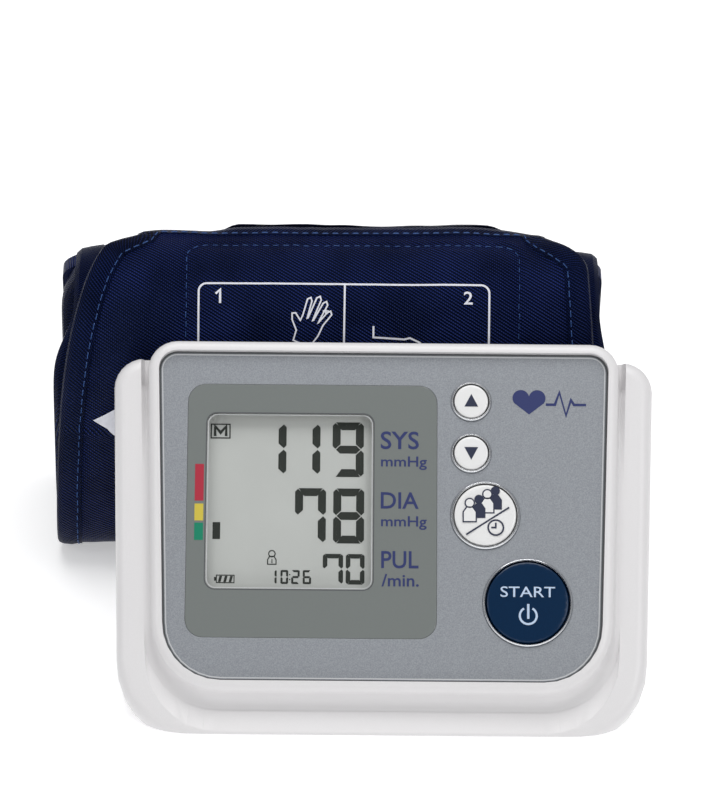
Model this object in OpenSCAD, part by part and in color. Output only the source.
// Upper arm blood pressure monitor with its arm cuff rolled up behind it.
// X runs to the right, Y to the back and Z up. The panel leans back on the casing.

/* [Monitor casing] */
// Overall width across the two side wings
body_w = 142; // [138:1:146]
// Depth from the front lip to the back wall
body_depth = 74.5; // [74:0.5:76]
// Angle of the panel from the table
panel_tilt = 45; // [44:0.5:46]
// Wall thickness of the mouldings
wall = 2.2; // [1.8:0.1:2.4]

/* [Panel] */
// Half width of the silver fascia at its upper edge
fascia_top = 58.95; // [58:0.05:59.2]
// Half width of the silver fascia at its lower edge
fascia_bottom = 56.95; // [56:0.05:57.2]
// Length of the silver fascia up the slope
fascia_len = 87.5; // [87:0.1:88]
// Travel of each button
button_travel = 0.7; // [0.5:0.1:0.7]

/* [Battery bay] */
// Diameter of one battery cell
cell_d = 14.2; // [13.8:0.1:14.4]
// How far the cover slides before its tabs drop out
cover_travel = 9; // [9:0.1:9.3]

/* [Cuff] */
// Width of the cuff fabric, which is the length of the roll
cuff_w = 148; // [144:1:150]
// Height of the roll on the table
roll_h = 91; // [88:1:100]
// Depth of the roll from front to back
roll_d = 54; // [54:1:58]
// Gap between the monitor's back wall and the roll
roll_gap = 1.3; // [1:0.1:4]

/* [Hidden] */
$fn = 48;
// Thickness of the slices that a rounded moulding is lofted through
slice = 0.05;

// Where the lower edge of the panel stands, in the monitor's own frame
panel_y = 8;
panel_z = 11.4;
// Gap under the casing, which the rubber feet fill
floor_gap = 0.4;
floor_top = floor_gap + 2.4;
back_inner = body_depth - wall - 0.1;

// Cuff placed in the monitor's frame
cuff_left = -88;
cuff_right = cuff_left + cuff_w;
roll_a = roll_d / 2;
roll_b = roll_h / 2;
roll_y = body_depth + roll_gap + roll_a;

// The origin is the middle of the whole object's box, on the table
front_reach = 0.06;
mon_x = -(cuff_left + body_w / 2) / 2;
mon_y = -(front_reach + roll_y + roll_a) / 2;

// Heights above the fascia's face, along the panel's outward normal
rim_n = 1.8;
fascia_t = 1;
front_wall_n = -3;
tray_n = -7;
lip_n = -2;
board_n = -9;
board_t = 1.6;
// Bosses that hold the circuit board: [across the panel, up the panel]
board_bosses = [[-44, 15.2], [18, 16], [9, 73], [44, 73]];

// The valley's floor rises by this much at the foot of the panel, and slopes back upwards
valley_rise = 2.6;
valley_tilt = 1.7;

// Buttons: [across the panel, up the panel, cap radius, ring radius]
up_at = [23, 74.9, 4.45, 5.3];
down_at = [23, 61, 4.45, 5.3];
user_at = [26.7, 44.4, 8.1, 9.1];
start_at = [37.7, 21.3, 10.7, 11.7];
ring_gap = 0.3;

// Display: [across, up, width, length, corner radius]
window_box = [-18.6, 45.3, 65.3, 67.5, 4.7];
lcd_box = [-24.4, 47.8, 43.6, 46.8, 2.6];
glass_w = 50;
glass_len = 54;

// Battery bay, in the monitor's frame
bay_x = 52;
bay_front = 38;
bay_back = 67.6;
bay_roof = 18.6;
cover_x = 50.8;
cover_front = 36.6;

// Posts that the case screws hold: [across, from the front, height of the joint]
front_post = [50, 19.2, 7];
mid_post = [56.2, 40, 24];

// The pump and the valve lie on the battery bay's roof
pump_y = 61.6;
pump_r = 10;
pump_z = bay_roof + 1.6 + pump_r + 0.3;
valve_x = -44;
socket_y = 51;
socket_z = 26;

// Radial places in the roll, measured inwards from its outer face
outer_t = 4.5;
flap_t = 3.2;
hook_in = 3.9;
loop_out = 4.3;
inner_out = 5;
inner_in = 9;
// Angles round the roll: 0 at the back, 90 on top, 180 at the front
flap_from = 72;
flap_to = 141;
binding_w = 6;
flap_left = cuff_left + 14;
flap_right = cuff_right - 5;

module in_monitor() {
  translate([mon_x, mon_y, 0]) children();
}

module on_panel(u = 0, v = 0, n = 0) {
  in_monitor() translate([0, panel_y, panel_z]) rotate([panel_tilt, 0, 0]) translate([u, v, n]) children();
}

module in_roll() {
  in_monitor() translate([0, roll_y, roll_b]) children();
}

function arc(cx, cy, r, from, to, steps = 7) =
  [for (i = [0:steps]) let (a = from + (to - from) * i / steps) [cx + r * cos(a), cy + r * sin(a)]];

// A rounded trapezoid that stands on v0, grown outwards by grow
function tapered(w0, w1, v0, v1, r0, r1, grow = 0) = concat(
  arc(w0 - r0, v0 + r0, r0 + grow, -90, 0),
  arc(w1 - r1, v1 - r1, r1 + grow, 0, 90),
  arc(r1 - w1, v1 - r1, r1 + grow, 90, 180),
  arc(r0 - w0, v0 + r0, r0 + grow, 180, 270)
);

function fascia_outline(grow = 0) =
  tapered(fascia_bottom, fascia_top, 0.2, 0.2 + fascia_len, 15.2, 4.7, grow);
function housing_outline(grow = 0) = fascia_outline(3 + grow);
function skirt_outline(grow = 0) =
  tapered(body_w / 2 - 2, body_w / 2, -16, 87, 22, 8, grow);
// The dished valley round the housing is widest below the panel
function valley_outline(grow = 0, below = 0) =
  tapered(fascia_bottom + 3, fascia_top + 3.4, -3 - below, 95, 18.2, 7, grow);

module plate(points, from, to) {
  translate([0, 0, from]) linear_extrude(to - from) polygon(points);
}

module rounded_plate(box, from, to, grow = 0) {
  w = box[2] / 2 + grow;
  h = box[3] / 2 + grow;
  r = box[4] + grow;
  plate(tapered(w, w, -h, h, r, r), from, to);
}

// The casing's outer envelope: where the table, the lip and the back wall cut it
module envelope() {
  in_monitor() translate([-90, -20, floor_gap]) cube([180, 20 + body_depth, 120]);
}

/* ---- Casing ---- */

// A moulding whose front edge is rounded to r, lofted back to a slightly smaller outline
module housing_round() {
  r = 2.4;
  hull() {
    for (a = [0:18:90]) {
      n = rim_n - r + r * sin(a);
      plate(housing_outline(-r * (1 - cos(a))), n - slice, n);
    }
    plate(housing_outline(-0.25), tray_n, tray_n + slice);
  }
}

module post(at, from, to, r) {
  for (s = [-1, 1]) in_monitor() translate([s * at[0], at[1], from]) cylinder(h = to - from, r = r);
}

module front_shell() color("whitesmoke") {
  difference() {
    on_panel() housing_round();
    on_panel() plate(fascia_outline(0.15), -fascia_t, rim_n + 1);
    on_panel() plate(housing_outline(-wall), tray_n - 1, front_wall_n);
    on_panel(lcd_box[0], lcd_box[1]) rounded_plate(lcd_box, front_wall_n - 1, 0, 1);
    for (b = [up_at, down_at, user_at, start_at]) on_panel(b[0], b[1], -4) cylinder(h = 4, r = b[3] + 0.1);
  }
  // Posts for the case screws
  difference() {
    intersection() {
      union() {
        post(front_post, front_post[2] + 0.1, 40, 3.1);
        post(mid_post, mid_post[2] + 0.1, 70, 3);
      }
      on_panel() plate(housing_outline(-wall - 0.05), -40, front_wall_n + 0.5);
    }
    // Room for the start button's flange
    on_panel(start_at[0], start_at[1], front_wall_n - 2.5) cylinder(h = 2.5, r = start_at[3] + 1.3);
    post(front_post, 0, front_post[2] + 7, 1.35);
    post(mid_post, 0, mid_post[2] + 7, 1.35);
  }
  // Bosses for the circuit board
  for (b = board_bosses) difference() {
    on_panel(b[0], b[1], board_n) cylinder(h = front_wall_n + 0.5 - board_n, r = 2.6);
    on_panel(b[0], b[1], board_n - 1) cylinder(h = 5.5, r = 0.9);
  }
}

module skirt(front, back) {
  r = 3.4;
  hull() {
    for (a = [0:18:90]) {
      n = front - r + r * sin(a);
      plate(skirt_outline(-r * (1 - cos(a))), n - slice, n);
    }
    plate(skirt_outline(-1.5), back, back + slice);
  }
}

module base_body() {
  difference() {
    intersection() {
      union() {
        on_panel() skirt(lip_n, -85);
        on_panel() plate(housing_outline(), -60, tray_n - 0.1);
      }
      envelope();
    }
    // The dished valley between the housing and the lip gets shallower and wider downwards
    on_panel(0, 0, valley_rise) rotate([-valley_tilt, 0, 0]) hull() {
      plate(valley_outline(0.8, 3), tray_n + 0.4, tray_n + 0.4 + slice);
      plate(valley_outline(1.6, 8.2), tray_n + 2.1, tray_n + 2.1 + slice);
      plate(valley_outline(1.7, 8.3), lip_n + 0.5, lip_n + 0.5 + slice);
    }
    on_panel() plate(housing_outline(0.15), tray_n - 0.1, 5);
    // The room inside
    intersection() {
      on_panel() union() {
        plate(housing_outline(-wall), -80, tray_n + 1);
        plate(skirt_outline(-wall - 1.6), -80, tray_n - 4);
      }
      in_monitor() translate([-90, -20, floor_top]) cube([180, 20 + back_inner, 100]);
    }
  }
}

module bay_block() {
  intersection() {
    in_monitor() translate([-bay_x - 1.6, bay_front - 1.6, floor_gap])
      cube([2 * bay_x + 3.2, bay_back - bay_front + 3.2, bay_roof + 1.6 - floor_gap]);
    envelope();
  }
  // The floor is thicker where the cover slides out to the back
  in_monitor() translate([-bay_x - 1.6, bay_front, floor_gap])
    cube([2 * bay_x + 3.2, back_inner + 0.5 - bay_front, 4.2 - floor_gap]);
}

module cover_path() {
  // Room for the cover's plate, its tabs, and the notches that the tabs drop out of
  in_monitor() {
    translate([-cover_x - 0.3, cover_front - 0.3, -1]) cube([2 * cover_x + 0.6, 60, 4.3]);
    for (s = [-1, 1]) {
      translate([s * (cover_x + 0.8) - 1.1, cover_front + 3, 1.7]) cube([2.2, 60, 1.6]);
      for (y = [cover_front + 4, cover_front + 22])
        translate([s * (cover_x + 0.8) - 1.1, y + cover_travel - 0.4, -1]) cube([2.2, 8.8, 3]);
    }
  }
}

module base_shell() color("white") difference() {
  union() {
    base_body();
    bay_block();
    post(front_post, floor_gap, front_post[2], 3.6);
    post(mid_post, floor_gap, mid_post[2], 3.6);
  }
  in_monitor() translate([-bay_x, bay_front, 0]) cube([2 * bay_x, bay_back - bay_front, bay_roof]);
  cover_path();
  for (p = [front_post, mid_post]) {
    post(p, 0, p[2] - 3.5, 2.7);
    post(p, 0, p[2] + 1, 1.6);
  }
  feet(1.1, 0.1);
  in_monitor() translate([0, socket_y, socket_z]) rotate([0, 90, 0]) {
    translate([0, 0, -80]) cylinder(h = 26, r = 4.6);
    translate([-4.7, -4.7, 54]) cube([9.4, 9.4, 26]);
  }
}

/* ---- Panel ---- */

module button_holes(grow) {
  for (b = [up_at, down_at, user_at, start_at]) translate([b[0], b[1], -5]) cylinder(h = 10, r = b[3] + grow);
}

module fascia_panel() color("silver") on_panel() difference() {
  plate(fascia_outline(), -fascia_t, 0);
  translate([window_box[0], window_box[1], 0]) rounded_plate(window_box, -2, 1, 0.05);
  button_holes(0.05);
}

module display_bezel() color("darkseagreen") on_panel() difference() {
  translate([window_box[0], window_box[1], 0]) rounded_plate(window_box, -fascia_t, 0.05);
  translate([lcd_box[0], lcd_box[1], 0]) rounded_plate(lcd_box, -2, 1, 0.05);
}

module display_window() color("lightcyan", 0.4)
  on_panel(lcd_box[0], lcd_box[1]) rounded_plate(lcd_box, -fascia_t, -0.25);

module lcd_glass() color("lightgray")
  on_panel(lcd_box[0] - glass_w / 2, lcd_box[1] - glass_len / 2, -5.9) cube([glass_w, glass_len, 2.8]);

module lcd_holder() color("white") on_panel(lcd_box[0], lcd_box[1]) difference() {
  translate([-glass_w / 2 - 2, -glass_len / 2 - 2, board_n]) cube([glass_w + 4, glass_len + 4, -3.1 - board_n]);
  translate([-glass_w / 2 - 0.1, -glass_len / 2 - 0.1, -5.9]) cube([glass_w + 0.2, glass_len + 0.2, 4]);
  translate([-glass_w / 2 + 3, -glass_len / 2 + 6, board_n - 1]) cube([glass_w - 6, glass_len - 9, 5]);
  translate([-glass_w / 2 + 3, -glass_len / 2 + 1.4, board_n - 1]) cube([glass_w - 6, 3, 5]);
}

module lcd_connector_strip() color("dimgray")
  on_panel(lcd_box[0] - glass_w / 2 + 3.2, lcd_box[1] - glass_len / 2 + 1.6, board_n)
    cube([glass_w - 6.4, 2.6, -5.9 - board_n]);

module button_ring(b) {
  on_panel(b[0], b[1], -fascia_t) difference() {
    union() {
      cylinder(h = fascia_t + 0.3, r = b[3]);
      translate([0, 0, fascia_t + 0.3]) cylinder(h = 0.4, r1 = b[3], r2 = b[3] - 0.3);
    }
    translate([0, 0, -1]) cylinder(h = 5, r = b[2] + ring_gap);
  }
}

module small_button_rings() color("gainsboro") {
  button_ring(up_at);
  button_ring(down_at);
}

module user_button_ring() color("gainsboro") button_ring(user_at);
module start_button_ring() color("silver") button_ring(start_at);

// A cap that drops through its ring, with a flange behind the front wall and a stem
module button_cap(b, tip) {
  on_panel(b[0], b[1]) rotate_extrude() polygon(concat(
    [[0, tip], [0, 0.75 + b[2] * 0.03]],
    [for (i = [1:4]) let (t = i / 4) [(b[2] - 0.5) * t, 0.75 + b[2] * 0.03 * (1 - t * t)]],
    [[b[2] - 0.15, 0.6], [b[2], 0.25], [b[2], front_wall_n - 0.3], [b[3] + 0.9, front_wall_n - 0.3]],
    [[b[3] + 0.9, front_wall_n - 1.2], [b[2] * 0.4, front_wall_n - 1.2], [b[2] * 0.4, tip]]
  ));
}

dome_top = -6.6;
stem_tip = dome_top + button_travel + 0.15;

module up_button() color("white") button_cap(up_at, stem_tip);
module down_button() color("white") button_cap(down_at, stem_tip);
module user_button() color("white") button_cap(user_at, stem_tip);
module start_button() color("midnightblue") button_cap(start_at, stem_tip);

/* ---- Electronics ---- */

module main_circuit_board() color("darkgreen") on_panel() difference() {
  translate([-49, 12, board_n - board_t]) cube([98, 67.5, board_t]);
  for (b = board_bosses) translate([b[0], b[1], board_n - 3]) cylinder(h = 4, r = 1.1);
}

module on_board_back(u, v, h) {
  on_panel(u, v, board_n - board_t - h) children();
}

module microcontroller() color("black") on_board_back(-20, 30, 1.4) cube([12, 12, 1.4]);

module pressure_sensor() color("lightslategray") on_board_back(-42, 30, 5) {
  cube([11, 9, 5]);
  translate([5.5, 4.5, -4]) cylinder(h = 4, r = 1.5);
}

module buzzer() color("black") on_board_back(24, 37, 5) difference() {
  cylinder(h = 5, r = 6);
  translate([0, 0, -1]) cylinder(h = 2.5, r = 1);
}

module keypad_mat() color("dimgray") on_panel() {
  difference() {
    translate([16.5, 12.5, board_n]) cube([32, 66.5, 0.7]);
    for (b = board_bosses) translate([b[0], b[1], board_n - 1]) cylinder(h = 4, r = 3);
  }
  for (b = [up_at, down_at, user_at, start_at])
    translate([b[0], b[1], board_n + 0.7]) cylinder(h = dome_top - board_n - 0.7, r1 = b[2] * 0.55, r2 = b[2] * 0.4);
}

module board_screws() color("silver") for (b = board_bosses) {
  on_panel(b[0], b[1], board_n - board_t - 1.2) {
    cylinder(h = 1.2, r = 1.9);
    cylinder(h = 6.5, r = 0.85);
  }
}

module case_screws() color("silver") for (p = [front_post, mid_post]) {
  post(p, p[2] - 5.3, p[2] - 3.5, 2.4);
  post(p, p[2] - 4, p[2] + 6, 1.3);
}

/* ---- Air system ---- */

// Along the pump's own axis, which runs to the right
module on_pump(x = 0) {
  in_monitor() translate([x, pump_y, pump_z]) rotate([0, 90, 0]) children();
}

module pump_motor_can() color("silver") on_pump() difference() {
  cylinder(h = 28, r = pump_r);
  translate([0, 0, 1.2]) cylinder(h = 25.6, r = pump_r - 0.8);
  translate([0, 0, -1]) cylinder(h = 30, r = 1.05);
}

module pump_rotor() color("saddlebrown") {
  on_pump(-4) cylinder(h = 31.5, r = 1);
  on_pump(4) cylinder(h = 18, r = 7.2);
  in_monitor() translate([-4, pump_y, pump_z + 1]) rotate([0, 90, 0]) cylinder(h = 2.4, r = 3);
}

module pump_head() color("black") {
  on_pump(-15) difference() {
    cylinder(h = 15, r = pump_r);
    translate([0, 0, 8]) cylinder(h = 8, r = 6);
  }
  on_pump(-20) difference() {
    cylinder(h = 5, r = 2);
    translate([0, 0, -1]) cylinder(h = 5, r = 1);
  }
}

module pump_cradle() color("gray") difference() {
  in_monitor() translate([3, pump_y - 8, bay_roof + 1.6]) cube([20, 16, 6]);
  on_pump(0) cylinder(h = 40, r = pump_r + 0.02);
}

module valve_body() color("dimgray") in_monitor() translate([valve_x, pump_y - 6, bay_roof + 1.6]) {
  difference() {
    cube([17, 12, 12]);
    translate([3, 6, 6]) rotate([0, 90, 0]) cylinder(h = 20, r = 2.6);
  }
  translate([5, 6, 12]) cylinder(h = 4, r = 1.5);
}

module valve_plunger() color("silver") in_monitor()
  translate([valve_x + 4.4, pump_y, bay_roof + 7.6]) rotate([0, 90, 0]) cylinder(h = 13.6, r = 2.55);

// A round bar swept through a few points
function unit(v) = v / norm(v);
function heading(p, i) = unit(p[min(i + 1, len(p) - 1)] - p[max(i - 1, 0)]);

module swept_bar(p, r, sides = 10) {
  rings = len(p) - 1;
  points = [for (i = [0:rings]) for (j = [0:sides - 1])
    let (t = heading(p, i), u = unit(cross(t, [0, 0.2, 1])), w = cross(t, u), a = 360 * j / sides)
    p[i] + r * (cos(a) * u + sin(a) * w)];
  skin = [for (i = [0:rings - 1]) for (j = [0:sides - 1])
    let (k = (j + 1) % sides)
    [(i + 1) * sides + j, (i + 1) * sides + k, i * sides + k, i * sides + j]];
  ends = [[for (j = [0:sides - 1]) j], [for (j = [sides - 1:-1:0]) rings * sides + j]];
  polyhedron(points = points, faces = concat(skin, ends), convexity = 6);
}

air_route = [
  [-20.2, pump_y, pump_z], [-22, pump_y, pump_z], [-23.6, 60.4, 30.2], [-24.6, 57.6, 29.4],
  [-25.6, 54.4, 28.2], [-27.4, 52, 27], [-30, socket_y, 26.2], [-34, socket_y, socket_z],
  [-55, socket_y, socket_z]
];

module air_tube() color("gainsboro") in_monitor() difference() {
  swept_bar(air_route, 2.1);
  swept_bar(concat([air_route[0] + [1, 0, 0]], air_route, [[-57, socket_y, socket_z]]), 1.2);
}

module air_socket() color("lightgray") in_monitor() translate([-70.4, socket_y, socket_z]) rotate([0, 90, 0])
  difference() {
    union() {
      translate([0, 0, 1.4]) cylinder(h = 13.8, r = 4.5);
      translate([0, 0, 4.6]) cylinder(h = 1.4, r = 5.4);
    }
    cylinder(h = 12.4, r = 2.5);
    cylinder(h = 20, r = 1.2);
  }

module dc_jack() color("black") in_monitor() translate([55, socket_y - 4.6, socket_z - 4.6]) difference() {
  cube([14, 9.2, 9.2]);
  translate([3, 4.6, 4.6]) rotate([0, 90, 0]) cylinder(h = 20, r = 2.9);
}

module dc_jack_pin() color("silver") in_monitor() translate([58, socket_y, socket_z])
  rotate([0, 90, 0]) cylinder(h = 10, r = 1);

/* ---- Power ---- */

module battery_cover() color("white") in_monitor() {
  difference() {
    translate([-cover_x, cover_front, floor_gap + 0.1]) cube([2 * cover_x, body_depth - cover_front, 2.6]);
    // A finger pad with grip ribs
    for (i = [0:4]) translate([-9, cover_front + 8 + 2.4 * i, 0]) cube([18, 1.2, floor_gap + 0.6]);
  }
  for (s = [-1, 1]) for (y = [cover_front + 4, cover_front + 22])
    translate([s * (cover_x + 0.4) - 0.6, y, 1.9]) cube([1.2, 8, 1.1]);
}

module cell() {
  rotate([0, 90, 0]) {
    cylinder(h = 48.8, r = cell_d / 2);
    cylinder(h = 50.2, r = 2.7);
  }
}

cell_z = 3.7 + cell_d / 2;
row_y = [bay_front + 7.4, bay_back - 7.4];

module battery_cells() color("goldenrod") in_monitor() {
  for (x = [-49.7, 0.6]) translate([x, row_y[0], cell_z]) cell();
  for (x = [49.7, -0.6]) translate([x, row_y[1], cell_z]) rotate([0, 0, 180]) cell();
}

// A flat wire coil that presses on the cell's end
module contact_coil(turns, pitch, r0, r1, wire) {
  sides = 6;
  per_turn = 10;
  rings = turns * per_turn;
  points = [for (i = [0:rings]) for (j = [0:sides - 1])
    let (a = 360 * i / per_turn, b = 360 * j / sides, r = r0 + (r1 - r0) * i / rings + wire * cos(b))
    [r * cos(a), r * sin(a), pitch * i / per_turn + wire * sin(b)]];
  skin = [for (i = [0:rings - 1]) for (j = [0:sides - 1])
    let (k = (j + 1) % sides)
    [i * sides + j, i * sides + k, (i + 1) * sides + k, (i + 1) * sides + j]];
  ends = [[for (j = [sides - 1:-1:0]) j], [for (j = [0:sides - 1]) rings * sides + j]];
  polyhedron(points = points, faces = concat(skin, ends), convexity = 8);
}

module battery_springs() color("silver") in_monitor() {
  translate([-51.2, row_y[0], cell_z]) rotate([0, 90, 0]) contact_coil(2, 0.6, 4.6, 2.6, 0.25);
  translate([51.2, row_y[1], cell_z]) rotate([0, -90, 0]) contact_coil(2, 0.6, 4.6, 2.6, 0.25);
}

module battery_contact_plates() color("silver") in_monitor() for (s = [-1, 1]) {
  translate([s * (bay_x - 0.25) - 0.2, bay_front + 2, 5]) cube([0.4, bay_back - bay_front - 4, 11]);
  translate([s * (bay_x - 0.25), s < 0 ? row_y[1] : row_y[0], cell_z]) rotate([0, -90 * s, 0])
    cylinder(h = 0.8, r = 2.2);
}

module feet(h, grow) {
  for (at = [[47, 10.5], [61, 66]]) for (s = [-1, 1])
    in_monitor() translate([s * at[0], at[1], 0]) cylinder(h = h + grow, r = 4 + grow);
}

module rubber_feet() color("dimgray") feet(1.1, 0);

/* ---- Cuff ---- */

// A smooth oval, rounded at the top and squarer where it stands, shrunk inwards by t
function oval_point(a, t) =
  let (c = cos(a), s = sin(a), k = 2 / (s < 0 ? 3.8 : 2.25))
  [(roll_a - t) * sign(c) * pow(abs(c), k), (roll_b - t) * sign(s) * pow(abs(s), k)];

function band_points(t0, t1, from, to, steps) = concat(
  [for (i = [0:steps]) oval_point(from + (to - from) * i / steps, t0)],
  [for (i = [steps:-1:0]) oval_point(from + (to - from) * i / steps, t1)]
);

// A stretch of the roll's wall between two depths and two angles
module wrap_band(x0, x1, t0, t1, from, to, steps = 40) {
  in_roll() translate([x0, 0, 0]) rotate([90, 0, 90]) linear_extrude(x1 - x0)
    polygon(band_points(t0, t1, from, to, steps));
}

ring_step = 360 / 64;

module full_wrap(x0, x1, t0, t1) {
  in_roll() translate([x0, 0, 0]) rotate([90, 0, 90]) linear_extrude(x1 - x0) difference() {
    polygon([for (i = [0:63]) oval_point(ring_step * i, t0)]);
    polygon([for (i = [0:63]) oval_point(ring_step * i, t1)]);
  }
}

outer_from = flap_to + 0.6;
outer_to = 360 + flap_from - 4;

module cuff_outer_wrap() color("midnightblue")
  wrap_band(cuff_left + binding_w, cuff_right - binding_w, 0, outer_t, outer_from, outer_to);

// The bladder's pocket in the inner turn, and the steps that both are drawn in
bladder_from = 205;
bladder_to = 335;
bladder_steps = 40;
bladder_step = (bladder_to - bladder_from) / bladder_steps;

module cuff_inner_wrap() color("midnightblue") difference() {
  full_wrap(cuff_left + binding_w, cuff_right - binding_w, inner_out, inner_in);
  wrap_band(cuff_left + 12, cuff_right - 13, inner_out + 1.2, inner_in - 1.2,
    bladder_from, bladder_to, bladder_steps);
  port_axis(-30, 30, 2.6);
}

module cuff_bladder() color("dimgray")
  wrap_band(cuff_left + 12.2, cuff_right - 13.2, inner_out + 1.3, inner_in - 1.3,
    bladder_from + bladder_step, bladder_to - bladder_step, bladder_steps - 2);

port_at = oval_point(328, (inner_out + inner_in) / 2);

module port_axis(from, to, r) {
  in_roll() translate([cuff_right + from, port_at[0], port_at[1]]) rotate([0, 90, 0]) cylinder(h = to - from, r = r);
}

module cuff_hose_port() color("dimgray") difference() {
  union() {
    port_axis(-13.1, 8, 1.7);
    port_axis(-3, -0.5, 1.95);
    port_axis(0.2, 1.4, 3.2);
  }
  port_axis(-14, 9, 0.9);
}

module cuff_loop_patch() color("black")
  wrap_band(cuff_left + 30, cuff_right - 20, loop_out, inner_out - 0.03, 13 * ring_step, 24 * ring_step, 11);

module cuff_edge_binding() color("navy") {
  for (x = [cuff_left, cuff_right - binding_w]) {
    wrap_band(x, x + binding_w, 0, outer_t, outer_from, outer_to);
    difference() {
      full_wrap(x, x + binding_w, inner_out, inner_in);
      port_axis(-30, 30, 2.6);
    }
  }
}

flap_steps = 16;
flap_step = (flap_to - flap_from) / flap_steps;

module cuff_flap() color("midnightblue")
  wrap_band(flap_left + binding_w, flap_right - binding_w, 0, flap_t, flap_from, flap_to, flap_steps);

module flap_hook_patch() color("black")
  wrap_band(flap_left + 18, flap_right - 20, flap_t + 0.02, hook_in,
    flap_from + flap_step, flap_to - flap_step, flap_steps - 2);

module flap_edge_binding() color("navy") for (x = [flap_left, flap_right - binding_w])
  wrap_band(x, x + binding_w, 0, flap_t, flap_from, flap_to, flap_steps);

front_shell();
base_shell();
fascia_panel();
display_bezel();
display_window();
lcd_glass();
lcd_holder();
lcd_connector_strip();
main_circuit_board();
microcontroller();
pressure_sensor();
buzzer();
keypad_mat();
small_button_rings();
user_button_ring();
start_button_ring();
up_button();
down_button();
user_button();
start_button();
pump_motor_can();
pump_rotor();
pump_head();
pump_cradle();
valve_body();
valve_plunger();
air_tube();
air_socket();
dc_jack();
dc_jack_pin();
battery_cover();
battery_cells();
battery_springs();
battery_contact_plates();
rubber_feet();
case_screws();
board_screws();
cuff_outer_wrap();
cuff_inner_wrap();
cuff_flap();
cuff_bladder();
cuff_hose_port();
cuff_loop_patch();
flap_hook_patch();
cuff_edge_binding();
flap_edge_binding();
